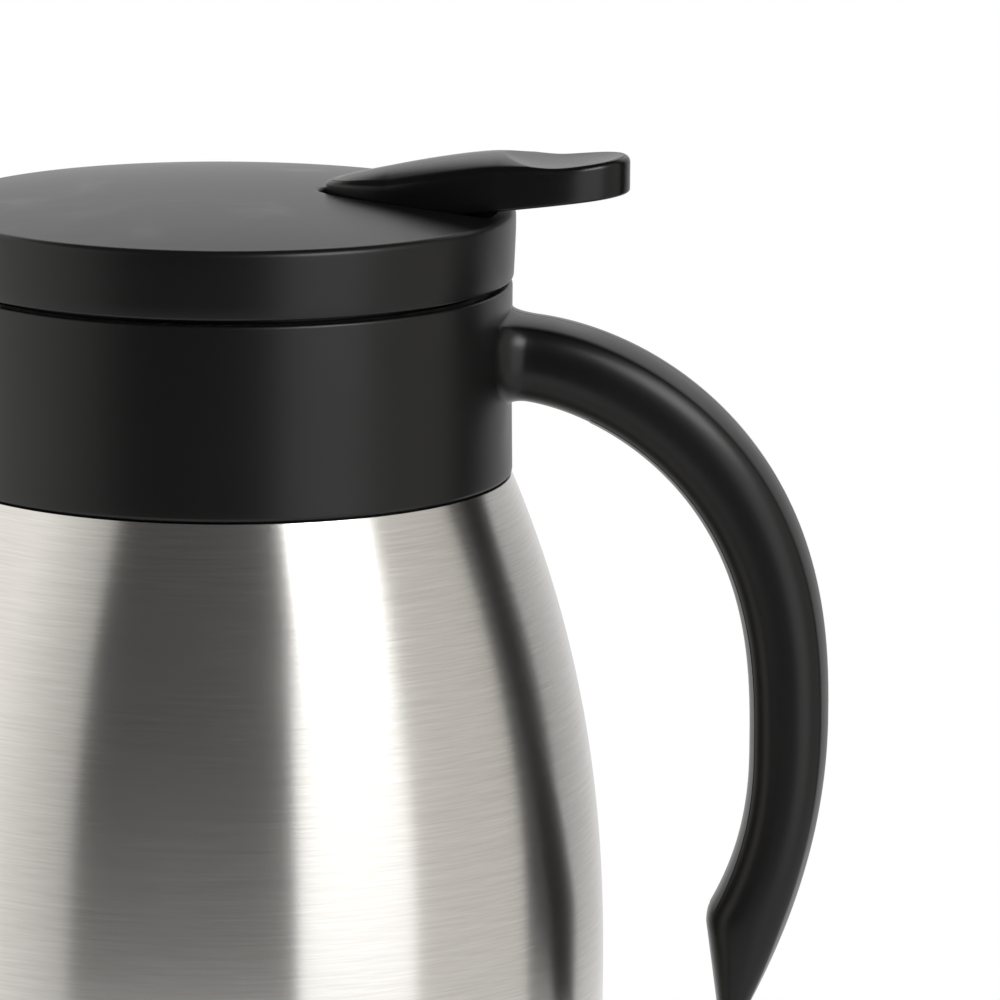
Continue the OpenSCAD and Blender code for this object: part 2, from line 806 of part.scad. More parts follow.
// Fork under the lever that lifts the valve, pressed on the lever's hub
module lever_fork() {
    arm_width = 15;
    arm_end = -3.6;
    arm_bend = 8;
    hub_bite = 1.2;
    color(black)
        difference() {
            union() {
                translate([0, arm_width / 2, 0])
                    rotate([90, 0, 0])
                        linear_extrude(arm_width)
                            polygon([
                                [arm_end, arm_z],
                                [arm_end, arm_z - arm_thickness],
                                [arm_bend, arm_z - arm_thickness],
                                [pin_reach - hub_bite, pin_z - 0.9 * hub_r],
                                [pin_reach - 0.5 * hub_r, pin_z],
                                [pin_reach - hub_r, pin_z],
                                [arm_bend, arm_z]
                            ]);
                translate([0, arm_width / 2, nub_z])
                    rotate([90, 0, 0])
                        cylinder(r = nub_r, h = arm_width);
            }
            translate([pin_reach, half_width, pin_z])
                rotate([90, 0, 0])
                    cylinder(r = hub_r, h = lever_width);
            translate([arm_end - 1, -fork_slot, arm_z - arm_thickness - 1])
                cube([stem_r + 1.2 - arm_end + 1, 2 * fork_slot, 2 * arm_thickness + 2 * nub_r]);
        }
}

module lever() {
    block_width = 18;
    color(black)
        difference() {
            union() {
                skin([for (i = [0 : lever_steps]) lever_ring(lever_station(i))]);
                translate([pin_reach, half_width, pin_z])
                    rotate([90, 0, 0])
                        cylinder(r = hub_r, h = lever_width);
                translate([0, block_width / 2, 0])
                    rotate([90, 0, 0])
                        linear_extrude(block_width)
                            polygon([
                                [pin_reach - hub_r, pin_z],
                                [pin_reach + hub_r, pin_z],
                                [pin_reach + hub_r - 0.3, lever_low + 1.6],
                                [pin_reach - 6, lever_low + 1.6]
                            ]);
            }
            translate([pin_reach, half_width + 1, pin_z])
                rotate([90, 0, 0])
                    cylinder(r = pin_diameter / 2 + running_clearance, h = lever_width + 2);
        }
}

dome_steps = 20;
rim_turn = 80;
function dome_z(r) = lid_rim + dome_rise * (1 - pow(r / lid_flat_r, 2));
lid_path = concat(
    [[lid_r - 0.3, lid_bottom]],
    [[lid_r, lid_bottom + 6]],
    quarter([lid_flat_r, lid_rim - lid_edge], lid_edge, lid_edge, 0, rim_turn, 5),
    [for (i = [1 : dome_steps])
        let (r = lid_flat_r * (1 - i / dome_steps))
        [r, dome_z(r)]]
);

module lever_plan(extra) {
    steps = 30;
    first = nose_reach - extra;
    last = tip_reach + extra;
    xs = [for (i = [0 : steps]) (first + last) / 2 - (last - first) / 2 * cos(180 * i / steps)];
    polygon(concat(
        [for (x = xs) [x, lever_half(x, extra)]],
        [for (i = [steps - 1 : -1 : 1]) [xs[i], -lever_half(xs[i], extra)]]
    ));
}

module lid_cover() {
    ear_low = pin_z - hub_r - 0.3;
    boss_top = dome_z(screw_circle) - 1.2;
    screw_depth = 9;
    color(black)
        difference() {
            union() {
                rotate_extrude()
                    polygon(concat(lid_path, reversed(moved_path(lid_path, lid_wall))));
                for (side = [-1, 1])
                    translate([pin_reach - 4, side > 0 ? ear_inside : -ear_outside, ear_low])
                        cube([8, ear_thickness, lid_rim - 0.7 - ear_low]);
                screw_places()
                    translate([0, 0, plate_top])
                        cylinder(d = boss_diameter, h = boss_top - plate_top, $fn = 48);
                ring(lid_ring_r - lid_ring_width, lid_ring_r, plate_top + lid_ring_height, lid_rim - 1.6 - plate_top - lid_ring_height);
            }
            intersection() {
                translate([0, 0, plate_top + lid_ring_height + 0.5])
                    linear_extrude(lid_side + dome_rise)
                        lever_plan(lever_gap);
                cylinder(r = pocket_r, h = 2 * lid_rim);
            }
            translate([pin_reach, pin_length / 2, pin_z])
                rotate([90, 0, 0])
                    cylinder(d = pin_diameter, h = pin_length);
            screw_places()
                translate([0, 0, plate_top - 1])
                    cylinder(d = screw_diameter, h = screw_depth + 1, $fn = 32);
        }
}

module lid_ring() {
    color(grey)
        ring(lid_ring_r - lid_ring_width, lid_ring_r, plate_top, lid_ring_height);
}

module lid_screws() {
    screw_length = 8;
    color(steel)
        screw_places()
            translate([0, 0, plate_z + 0.1]) {
                cylinder(r = screw_head_r - 0.2, h = screw_head - 0.1, $fn = 32);
                cylinder(d = screw_diameter, h = plate_thickness + screw_length, $fn = 32);
            }
}

module hinge_pin() {
    color(steel)
        translate([pin_reach, pin_length / 2, pin_z])
            rotate([90, 0, 0])
                cylinder(d = pin_diameter, h = pin_length);
}

module stem_wiper() {
    color(grey)
        translate([0, 0, wiper_z])
            rotate_extrude()
                translate([wiper_r, 0])
                    circle(r = wiper_wire, $fn = 24);
}

stem_top = ring_z + ring_height + 0.8;
module valve_stem() {
    color(steel)
        difference() {
            translate([0, 0, valve_top])
                cylinder(r = stem_r, h = stem_top - valve_top);
            ring(stem_r - ring_groove, stem_r + 1, ring_z, ring_height);
        }
}

module stem_ring() {
    color(steel)
        ring(stem_r - ring_groove, ring_r, ring_z, ring_height);
}

hub_height = 3;
module valve_disc() {
    color(black) {
        translate([0, 0, valve_z])
            cylinder(d = valve_diameter, h = valve_thickness);
        ring(stem_r, spring_diameter / 2 - 1.2, valve_top - 0.1, hub_height);
    }
}

module valve_seal() {
    seal_width = 3;
    color(grey)
        ring(valve_diameter / 2 - seal_width, valve_diameter / 2, seat_top, valve_seal_height);
}

// Spring from the valve disc up to the stopper's plate, with a flat turn at each end
spring_low = valve_top + spring_wire / 2;
spring_high = plate_z - spring_wire / 2;
spring_sides = 8;
spring_turn_steps = 20;
spring_points = spring_turns * spring_turn_steps;
function spring_share(t) =
    let (flat = 0.9 / spring_turns)
    t < flat ? 0.03 * t / flat : t > 1 - flat ? 1 - 0.03 * (1 - t) / flat : 0.03 + 0.94 * (t - flat) / (1 - 2 * flat);
module return_spring() {
    color(steel)
        skin([
            for (i = [0 : spring_points])
                let (
                    turn = 360 * i / spring_turn_steps,
                    z = spring_low + (spring_high - spring_low) * spring_share(i / spring_points)
                )
                [for (k = [0 : spring_sides - 1])
                    let (
                        a = 360 * (k + 0.5) / spring_sides,
                        r = spring_diameter / 2 + spring_wire / 2 * cos(a)
                    )
                    [r * cos(turn), r * sin(turn), z + spring_wire / 2 * sin(a)]]
        ]);
}

base_pad();
base_plate_disc();
seal_plug();
getter_pill();
outer_shell();
inner_flask();
collar();
handle_strip();
neck_gasket();
thread_sleeve();
stopper_gasket();
stopper();
stopper_plate();
lid_cover();
lid_ring();
lid_screws();
hinge_pin();
stem_wiper();
lever();
lever_fork();
valve_stem();
valve_disc();
valve_seal();
stem_ring();
return_spring();
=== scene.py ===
import math

import bmesh
import bpy
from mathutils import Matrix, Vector


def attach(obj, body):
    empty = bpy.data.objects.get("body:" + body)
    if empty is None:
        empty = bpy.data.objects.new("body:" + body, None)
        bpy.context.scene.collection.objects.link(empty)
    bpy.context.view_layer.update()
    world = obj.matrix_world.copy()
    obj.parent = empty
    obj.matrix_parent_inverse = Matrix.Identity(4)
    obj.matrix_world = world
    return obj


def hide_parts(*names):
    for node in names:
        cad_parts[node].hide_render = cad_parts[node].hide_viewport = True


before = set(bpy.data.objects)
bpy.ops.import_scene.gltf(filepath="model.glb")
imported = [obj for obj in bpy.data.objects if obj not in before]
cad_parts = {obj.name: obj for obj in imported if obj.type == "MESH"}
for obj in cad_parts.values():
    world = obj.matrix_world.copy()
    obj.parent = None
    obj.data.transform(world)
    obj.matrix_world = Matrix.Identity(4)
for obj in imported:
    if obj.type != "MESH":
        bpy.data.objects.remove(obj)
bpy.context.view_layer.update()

# Camera
# It stands one and a half metres from the lid, a little above it, and turned six degrees towards the handle.
# The long lens and the pan past the lid put the right part of the carafe in the picture.
camera_data = bpy.data.cameras.new("camera")
camera_data.sensor_width = 36.0
camera_data.lens = 310.03
camera_data.clip_end = 40.0
camera = bpy.data.objects.new("camera", camera_data)
camera.location = (0.15440, -1.46897, 0.48730)
camera.rotation_euler = (math.radians(79.018), math.radians(-0.483), math.radians(4.2275))
bpy.context.scene.collection.objects.link(camera)
bpy.context.scene.camera = camera
bpy.context.scene.view_settings.view_transform = "Standard"


# Studio
# A pale table runs back into white. Round the carafe hang soft white panels and dark felt flags, which only
# the gloss of the steel and the plastic sees, and large lamps light it from above and from both sides.
def add_node(tree, kind, inputs=None, **settings):
    made = tree.nodes.new(kind)
    for key, value in settings.items():
        setattr(made, key, value)
    for key, value in (inputs or {}).items():
        if isinstance(value, bpy.types.NodeSocket):
            tree.links.new(value, made.inputs[key])
        else:
            made.inputs[key].default_value = value
    return made


def new_material(name):
    material = bpy.data.materials.new(name)
    material.use_nodes = True
    material.node_tree.nodes.clear()
    return material, material.node_tree


def seen_directly(tree):
    """1 for the camera's rays and for what gloss and glass show, 0 for the light that reaches the carafe."""
    path = add_node(tree, "ShaderNodeLightPath")
    gloss = add_node(tree, "ShaderNodeMath", {0: path.outputs["Is Camera Ray"], 1: path.outputs["Is Glossy Ray"]},
                     operation="MAXIMUM")
    return add_node(tree, "ShaderNodeMath", {0: gloss.outputs[0], 1: path.outputs["Is Transmission Ray"]},
                    operation="MAXIMUM").outputs[0]


world = bpy.data.worlds.new("studio")
world.use_nodes = True
bpy.context.scene.world = world
sky = world.node_tree
sky.nodes.clear()
sky_strength = add_node(sky, "ShaderNodeMapRange", {"Value": seen_directly(sky), "To Min": 0.42, "To Max": 1.0})
sky_white = add_node(sky, "ShaderNodeBackground", {"Color": (1, 1, 1, 1), "Strength": sky_strength.outputs[0]})
add_node(sky, "ShaderNodeOutputWorld", {"Surface": sky_white.outputs[0]})

table_bm = bmesh.new()
bmesh.ops.create_grid(table_bm, x_segments=2, y_segments=2, size=9.0)
table_mesh = bpy.data.meshes.new("table")
table_bm.to_mesh(table_mesh)
table_bm.free()
table = bpy.data.objects.new("table", table_mesh)
bpy.context.scene.collection.objects.link(table)
table_white, tree = new_material("table white")
where = add_node(tree, "ShaderNodeTexCoord").outputs["Object"]
far = add_node(tree, "ShaderNodeVectorMath", {0: where}, operation="LENGTH").outputs["Value"]
far_share = add_node(tree, "ShaderNodeMapRange", {"Value": far, "From Min": 0.16, "From Max": 0.42},
                     interpolation_type="SMOOTHSTEP").outputs[0]
white_share = add_node(tree, "ShaderNodeMath", {0: far_share, 1: seen_directly(tree)},
                       operation="MULTIPLY").outputs[0]
cloth = add_node(tree, "ShaderNodeBsdfPrincipled", {"Base Color": (0.86, 0.86, 0.86, 1), "Roughness": 0.75})
glow = add_node(tree, "ShaderNodeEmission", {"Color": (1, 1, 1, 1), "Strength": 1.0})
table_mix = add_node(tree, "ShaderNodeMixShader", {0: white_share, 1: cloth.outputs[0], 2: glow.outputs[0]})
add_node(tree, "ShaderNodeOutputMaterial", {"Surface": table_mix.outputs[0]})
table.data.materials.append(table_white)

# Each panel runs between two angles, counted from the camera towards the right, and between two heights, with
# its brightness at both ends and its tint
PANELS = [
    ("left_light", (-150, -75), (0.002, 0.7), (1.25, 1.2), (1.0, 0.985, 0.96)),
    ("left_fade", (-75, -43.5), (0.002, 0.7), (1.2, 0.56), (1.0, 0.985, 0.96)),
    ("camera_flag", (-43.5, 35), (0.16, 0.7), (0.085, 0.13), (1.0, 1.0, 1.0)),
    ("front_cloth", (-43.5, 35), (0.002, 0.16), (0.12, 0.2), (1.0, 1.0, 1.0)),
    ("right_card", (45, 96), (0.002, 0.7), (0.8, 0.75), (1.0, 0.975, 0.93)),
    ("rim_flag", (97, 119), (0.002, 0.7), (0.045, 0.045), (1.0, 1.0, 1.0)),
    ("back_low", (120, 210), (0.002, 0.28), (0.5, 1.3), (1.0, 1.0, 1.0)),
    ("back_middle", (120, 210), (0.28, 0.4), (0.72, 0.85), (1.0, 1.0, 1.0)),
    ("back_high", (120, 210), (0.4, 0.62), (1.1, 1.2), (1.0, 1.0, 1.0)),
]
# The softbox hangs in front of the others in three lengths, which lean to the right as they rise
SOFTBOX = [
    ("softbox_low", (20.5, 55.5), (0.002, 0.27), (0, 0), 1.7),
    ("softbox_middle", (20.5, 55.5), (0.27, 0.41), (0, 6), 1.7),
    ("softbox_top", (26.5, 58), (0.41, 0.7), (0, 0), 9.0),
]
panel_far = 0.46
softbox_far = 0.452
camera_turn = 6


def hang_panel(name, bm, shine_value, tint, turn_from=None, turn_to=None, shine_end=None):
    """Hangs a panel that only gloss sees. Its brightness may run from one angle to another."""
    mesh = bpy.data.meshes.new(name)
    bm.to_mesh(mesh)
    bm.free()
    panel = bpy.data.objects.new(name, mesh)
    bpy.context.scene.collection.objects.link(panel)
    panel.visible_camera = False
    panel.visible_diffuse = False
    panel.visible_shadow = False
    panel.visible_transmission = False
    lit, tree = new_material(name)
    shine = add_node(tree, "ShaderNodeEmission", {"Color": (*tint, 1), "Strength": shine_value})
    if shine_end is not None:
        place = add_node(tree, "ShaderNodeTexCoord").outputs["Object"]
        middle = math.radians((turn_from + turn_to) / 2)
        turned = add_node(tree, "ShaderNodeMapping", {"Vector": place, "Rotation": (0, 0, -middle)})
        parts = add_node(tree, "ShaderNodeSeparateXYZ", {0: turned.outputs[0]})
        angle = add_node(tree, "ShaderNodeMath", {0: parts.outputs["Y"], 1: parts.outputs["X"]},
                         operation="ARCTAN2")
        half = math.radians((turn_to - turn_from) / 2)
        ramp = add_node(tree, "ShaderNodeMapRange", {"Value": angle.outputs[0], "From Min": -half, "From Max": half,
                                                     "To Min": shine_value, "To Max": shine_end})
        tree.links.new(ramp.outputs[0], shine.inputs["Strength"])
    add_node(tree, "ShaderNodeOutputMaterial", {"Surface": shine.outputs[0]})
    panel.data.materials.append(lit)


def curved_panel(turns, heights, leans, far):
    """A panel bent round the carafe, between two angles and two heights. Its ends may lean."""
    bm = bmesh.new()
    ends = []
    for z, lean in zip(heights, leans):
        turn = math.radians(camera_turn + turns[0] + lean - 90)
        ends.append(bm.verts.new((far * math.cos(turn), far * math.sin(turn), z)))
    edge = bm.edges.new(ends)
    bmesh.ops.spin(bm, geom=ends + [edge], cent=(0, 0, 0), axis=(0, 0, 1), angle=math.radians(turns[1] - turns[0]),
                   steps=24, use_duplicate=False)
    return bm


for name, turns, heights, strengths, tint in PANELS:
    first, last = camera_turn + turns[0] - 90, camera_turn + turns[1] - 90
    hang_panel(name, curved_panel(turns, heights, (0, 0), panel_far), strengths[0], tint, first, last, strengths[1])
for name, turns, heights, leans, strength in SOFTBOX:
    hang_panel(name, curved_panel(turns, heights, leans, softbox_far), strength, (1.0, 1.0, 1.0))

# A dark canopy closes the ring of panels above the carafe
canopy_far, canopy_low, canopy_height = 0.475, 0.6, 0.35
bm = bmesh.new()
low_edge = bmesh.ops.create_circle(bm, segments=64, radius=canopy_far)["verts"]
bmesh.ops.translate(bm, vec=(0, 0, canopy_low), verts=low_edge)
bmesh.ops.extrude_edge_only(bm, edges=bm.edges[:])
high_edge = [v for v in bm.verts if v not in low_edge]
bmesh.ops.translate(bm, vec=(0, 0, canopy_height), verts=high_edge)
bmesh.ops.contextual_create(bm, geom=[e for e in bm.edges if all(v in high_edge for v in e.verts)])
hang_panel("canopy", bm, 0.06, (1.0, 1.0, 1.0))

# Each lamp has its place, its target, its size and its power
LAMPS = [
    ("top_lamp", (0.05, -0.25, 1.5), (0.0, 0.0, 0.2), 0.9, 9.0),
    ("right_lamp", (1.0, -0.9, 0.7), (0.0, 0.0, 0.15), 0.7, 9.0),
    ("left_lamp", (-1.1, -0.6, 0.6), (0.0, 0.0, 0.15), 0.8, 7.0),
]
for name, place, aim, size, power in LAMPS:
    lamp_data = bpy.data.lights.new(name, "AREA")
    lamp_data.size = size
    lamp_data.energy = power
    lamp = bpy.data.objects.new(name, lamp_data)
    lamp.location = place
    lamp.visible_glossy = False
    lamp.rotation_euler = (Vector(place) - Vector(aim)).to_track_quat("Z", "Y").to_euler()
    bpy.context.scene.collection.objects.link(lamp)


# Steel body
# The outer wall is one drawn shell of stainless steel, 0.8 mm thick, turned in under the foot. It was
# brushed round and round on a lathe, so that fine lines run level and its reflections stand upright.
def spin_profile(bm, points, steps=192):
    """Turns a line of (distance, height) points round the carafe's axis."""
    corners = [bm.verts.new((r, 0, z)) for r, z in points]
    edges = [bm.edges.new(pair) for pair in zip(corners, corners[1:])]
    bmesh.ops.spin(bm, geom=corners + edges, cent=(0, 0, 0), axis=(0, 0, 1), angle=math.tau, steps=steps,
                   use_merge=True)
    bmesh.ops.remove_doubles(bm, verts=bm.verts, dist=1e-4)


def arc(centre, radius, first, last, steps):
    """Points on an arc, between two angles in degrees."""
    turns = [math.radians(first + (last - first) * i / steps) for i in range(steps + 1)]
    return [(centre[0] + radius * math.cos(t), centre[1] + radius * math.sin(t)) for t in turns]


def finish_piece(name, bm, body, material, nodes, sharp=35):
    """Makes a piece in metres from a mesh in millimetres, rounds its shading and hangs it on its body."""
    bmesh.ops.recalc_face_normals(bm, faces=bm.faces)
    bmesh.ops.scale(bm, vec=(0.001, 0.001, 0.001), verts=bm.verts)
    mesh = bpy.data.meshes.new(name)
    bm.to_mesh(mesh)
    bm.free()
    mesh.polygons.foreach_set("use_smooth", [True] * len(mesh.polygons))
    mesh.set_sharp_from_angle(angle=math.radians(sharp))
    piece = bpy.data.objects.new(name, mesh)
    bpy.context.scene.collection.objects.link(piece)
    mesh.materials.append(material)
    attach(piece, body)
    if nodes:
        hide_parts(*nodes)
    return piece


def dress(node, material):
    """Gives a node that keeps its own shape its finish."""
    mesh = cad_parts[node].data
    mesh.materials.clear()
    mesh.materials.append(material)


def new_group(name, inputs, outputs):
    group = bpy.data.node_groups.new(name, "ShaderNodeTree")
    for label, kind, value in inputs:
        socket = group.interface.new_socket(name=label, in_out="INPUT", socket_type=kind)
        socket.default_value = value
    for label, kind in outputs:
        group.interface.new_socket(name=label, in_out="OUTPUT", socket_type=kind)
    return group, group.nodes.new("NodeGroupInput"), group.nodes.new("NodeGroupOutput")


# Level brushing: short lines along the turn, in a coarse and a fine set, and clouds where the belt pressed harder
brushing, given, sent = new_group(
    "level brushing",
    [("Vector", "NodeSocketVector", (0, 0, 0)), ("Lines", "NodeSocketFloat", 2600.0),
     ("Length", "NodeSocketFloat", 70.0), ("Clouds", "NodeSocketFloat", 14.0)],
    [("Height", "NodeSocketFloat"), ("Cloud", "NodeSocketFloat")],
)
line_scale = add_node(brushing, "ShaderNodeCombineXYZ",
                      {"X": given.outputs["Length"], "Y": given.outputs["Length"], "Z": given.outputs["Lines"]})
line_place = add_node(brushing, "ShaderNodeVectorMath",
                      {0: given.outputs["Vector"], 1: line_scale.outputs[0]}, operation="MULTIPLY")
coarse = add_node(brushing, "ShaderNodeTexNoise",
                  {"Vector": line_place.outputs[0], "Scale": 1.0, "Detail": 2.0, "Roughness": 0.55})
finer_place = add_node(brushing, "ShaderNodeVectorMath",
                       {0: line_place.outputs[0], 1: (2.3, 2.3, 2.9)}, operation="MULTIPLY")
finer = add_node(brushing, "ShaderNodeTexNoise",
                 {"Vector": finer_place.outputs[0], "Scale": 1.0, "Detail": 1.0, "Roughness": 0.5})
both = add_node(brushing, "ShaderNodeMix", {"Factor": 0.4, "A": coarse.outputs[0], "B": finer.outputs[0]})
cloud = add_node(brushing, "ShaderNodeTexNoise",
                 {"Vector": given.outputs["Vector"], "Scale": given.outputs["Clouds"], "Detail": 3.0})
brushing.links.new(both.outputs[0], sent.inputs["Height"])
brushing.links.new(cloud.outputs[0], sent.inputs["Cloud"])


def brushed_steel(name, dark, light, least_rough, most_rough, stretch, depth, lines=2600.0, length=70.0):
    """Stainless steel with level brushing. The gloss is drawn out upright, across the lines."""
    material, tree = new_material(name)
    place = add_node(tree, "ShaderNodeTexCoord").outputs["Object"]
    lines_node = add_node(tree, "ShaderNodeGroup", node_tree=brushing)
    tree.links.new(place, lines_node.inputs["Vector"])
    lines_node.inputs["Lines"].default_value = lines
    lines_node.inputs["Length"].default_value = length
    worn = add_node(tree, "ShaderNodeMapRange", {"Value": lines_node.outputs["Height"], "From Min": 0.3,
                                                 "From Max": 0.7})
    tone = add_node(tree, "ShaderNodeMix", {"Factor": worn.outputs[0], "A": (*dark, 1), "B": (*light, 1)},
                    data_type="RGBA")
    cloudy = add_node(tree, "ShaderNodeMapRange", {"Value": lines_node.outputs["Cloud"], "From Min": 0.35,
                                                   "From Max": 0.65, "To Min": least_rough, "To Max": most_rough})
    bump = add_node(tree, "ShaderNodeBump", {"Height": lines_node.outputs["Height"], "Strength": 1.0,
                                             "Distance": depth})
    turned = add_node(tree, "ShaderNodeTangent", direction_type="RADIAL", axis="Z")
    steel = add_node(tree, "ShaderNodeBsdfPrincipled", {
        "Base Color": tone.outputs["Result"], "Metallic": 1.0, "Roughness": cloudy.outputs[0],
        "Anisotropic": stretch, "Anisotropic Rotation": 0.25, "Tangent": turned.outputs[0],
        "Normal": bump.outputs[0]})
    add_node(tree, "ShaderNodeOutputMaterial", {"Surface": steel.outputs[0]})
    return material


body_radius, widest_height, collar_base = 67, 116, 206
shoulder_in, shoulder_power = 17, 2.28
foot_in, foot_power = 5, 2.2
foot_round, foot_height = 7, 8.4
neck_radius, neck_top = 42, 222


def shoulder_radius(z):
    """The body's radius above its widest ring: full first, then drawn in to the collar."""
    share = max(z - widest_height, 0) / (collar_base - widest_height)
    return body_radius - shoulder_in * share ** shoulder_power


def lower_radius(z):
    """The body's radius below its widest ring, down to the foot."""
    share = max(widest_height - z, 0) / (widest_height - foot_height)
    return body_radius - foot_in * share ** foot_power


lower_rise = widest_height - foot_height
shoulder_rise = collar_base - 0.15 - widest_height
shell_line = (
    [(52, 1.4)]
    + arc((body_radius - foot_in - foot_round, foot_height), foot_round, -90, 0, 14)
    + [(lower_radius(z), z) for z in [foot_height + lower_rise * i / 40 for i in range(1, 41)]]
    + [(shoulder_radius(z), z) for z in [widest_height + shoulder_rise * i / 60 for i in range(1, 61)]]
    + [(46, collar_base - 0.14)]
    + arc((45.5, 210.7), 3.5, 270, 180, 6)
    + [(neck_radius, neck_top)]
)
bm = bmesh.new()
spin_profile(bm, shell_line, steps=256)
shell_steel = brushed_steel("brushed shell steel", (0.565, 0.55, 0.525), (0.66, 0.645, 0.62), 0.22, 0.28, 0.8,
                            0.000004)
steel_body = finish_piece("steel_body", bm, "jug", shell_steel, ["outer_shell"], sharp=50)
wall = steel_body.modifiers.new("wall", "SOLIDIFY")
wall.thickness = 0.0008
wall.offset = -1

# Foot and base
# A pressed steel disc closes the underside, with a sealing plug in its middle, and a black silicone pad
# covers it and carries the carafe. The getter pill lies in the empty space between the walls.

# Soft skin: fine pits, faint clouds and the dust that silicone and rubber pick up
soft_skin, given, sent = new_group(
    "soft skin",
    [("Vector", "NodeSocketVector", (0, 0, 0)), ("Pits", "NodeSocketFloat", 1800.0),
     ("Dust", "NodeSocketFloat", 260.0)],
    [("Height", "NodeSocketFloat"), ("Dust", "NodeSocketFloat"), ("Cloud", "NodeSocketFloat")],
)
pits = add_node(soft_skin, "ShaderNodeTexNoise",
                {"Vector": given.outputs["Vector"], "Scale": given.outputs["Pits"], "Detail": 2.0})
specks = add_node(soft_skin, "ShaderNodeTexVoronoi",
                  {"Vector": given.outputs["Vector"], "Scale": given.outputs["Dust"]})
dusty = add_node(soft_skin, "ShaderNodeMapRange",
                 {"Value": specks.outputs["Distance"], "From Min": 0.06, "From Max": 0.02})
cloud = add_node(soft_skin, "ShaderNodeTexNoise",
                 {"Vector": given.outputs["Vector"], "Scale": 35.0, "Detail": 3.0})
soft_skin.links.new(pits.outputs[0], sent.inputs["Height"])
soft_skin.links.new(dusty.outputs[0], sent.inputs["Dust"])
soft_skin.links.new(cloud.outputs[0], sent.inputs["Cloud"])


def silicone(name, dark, light, dust, least_rough, most_rough, clear):
    """Moulded silicone rubber, matt, with a little dust on it."""
    material, tree = new_material(name)
    place = add_node(tree, "ShaderNodeTexCoord").outputs["Object"]
    skin = add_node(tree, "ShaderNodeGroup", node_tree=soft_skin)
    tree.links.new(place, skin.inputs["Vector"])
    tone = add_node(tree, "ShaderNodeMix", {"Factor": skin.outputs["Cloud"], "A": (*dark, 1), "B": (*light, 1)},
                    data_type="RGBA")
    dusted = add_node(tree, "ShaderNodeMix", {"Factor": skin.outputs["Dust"], "A": tone.outputs["Result"],
                                              "B": (*dust, 1)}, data_type="RGBA")
    rough = add_node(tree, "ShaderNodeMapRange", {"Value": skin.outputs["Cloud"], "To Min": least_rough,
                                                  "To Max": most_rough})
    bump = add_node(tree, "ShaderNodeBump", {"Height": skin.outputs["Height"], "Strength": 0.5,
                                             "Distance": 0.00003})
    rubber = add_node(tree, "ShaderNodeBsdfPrincipled", {
        "Base Color": dusted.outputs["Result"], "Roughness": rough.outputs[0], "Normal": bump.outputs[0],
        "Subsurface Weight": clear, "Subsurface Radius": (0.002, 0.002, 0.002)})
    add_node(tree, "ShaderNodeOutputMaterial", {"Surface": rubber.outputs[0]})
    return material


pad_rubber = silicone("black pad silicone", (0.028, 0.028, 0.029), (0.045, 0.045, 0.046), (0.12, 0.12, 0.115),
                      0.62, 0.8, 0.0)
grey_silicone = silicone("grey silicone", (0.36, 0.36, 0.35), (0.46, 0.46, 0.45), (0.55, 0.55, 0.53), 0.45, 0.6,
                         0.15)
small_steel = brushed_steel("small steel parts", (0.52, 0.52, 0.51), (0.64, 0.64, 0.63), 0.24, 0.34, 0.3, 0.000003,
                            lines=5200.0, length=300.0)
flask_steel = brushed_steel("flask steel", (0.58, 0.57, 0.55), (0.68, 0.67, 0.65), 0.16, 0.24, 0.4, 0.000003,
                            lines=1400.0, length=60.0)
getter_grey = brushed_steel("getter metal", (0.22, 0.22, 0.23), (0.34, 0.34, 0.35), 0.55, 0.7, 0.0, 0.00002,
                            lines=4000.0, length=4000.0)
dress("base_pad", pad_rubber)
dress("base_plate_disc", shell_steel)
dress("seal_plug", small_steel)
dress("getter_pill", getter_grey)

# Inner flask and neck
# The inner flask holds the drink and is welded to the outer shell at the rim. A silicone ring seals it against
# the collar's shelf, and the white threaded sleeve clamps the collar on the neck and takes the lid's thread.

# Moulded skin: the fine grain of the tool, faint flow clouds, rubbed patches and level lines of the tool
moulded_skin, given, sent = new_group(
    "moulded skin",
    [("Vector", "NodeSocketVector", (0, 0, 0)), ("Grain", "NodeSocketFloat", 3200.0),
     ("Lines", "NodeSocketFloat", 1500.0), ("Line Share", "NodeSocketFloat", 0.3),
     ("Rubbing", "NodeSocketFloat", 24.0)],
    [("Height", "NodeSocketFloat"), ("Cloud", "NodeSocketFloat"), ("Rubbed", "NodeSocketFloat")],
)
grain = add_node(moulded_skin, "ShaderNodeTexNoise",
                 {"Vector": given.outputs["Vector"], "Scale": given.outputs["Grain"], "Detail": 2.0,
                  "Roughness": 0.6})
tool_scale = add_node(moulded_skin, "ShaderNodeCombineXYZ", {"X": 40.0, "Y": 40.0, "Z": given.outputs["Lines"]})
tool_place = add_node(moulded_skin, "ShaderNodeVectorMath",
                      {0: given.outputs["Vector"], 1: tool_scale.outputs[0]}, operation="MULTIPLY")
tool_lines = add_node(moulded_skin, "ShaderNodeTexNoise",
                      {"Vector": tool_place.outputs[0], "Scale": 1.0, "Detail": 2.0})
skin_height = add_node(moulded_skin, "ShaderNodeMix", {"Factor": given.outputs["Line Share"],
                                                       "A": grain.outputs[0], "B": tool_lines.outputs[0]})
flow = add_node(moulded_skin, "ShaderNodeTexNoise",
                {"Vector": given.outputs["Vector"], "Scale": given.outputs["Rubbing"], "Detail": 4.0,
                 "Roughness": 0.6, "Distortion": 0.4})
rubbed = add_node(moulded_skin, "ShaderNodeMapRange",
                  {"Value": flow.outputs[0], "From Min": 0.52, "From Max": 0.7}, interpolation_type="SMOOTHSTEP")
moulded_skin.links.new(skin_height.outputs[0], sent.inputs["Height"])
moulded_skin.links.new(flow.outputs[0], sent.inputs["Cloud"])
moulded_skin.links.new(rubbed.outputs[0], sent.inputs["Rubbed"])


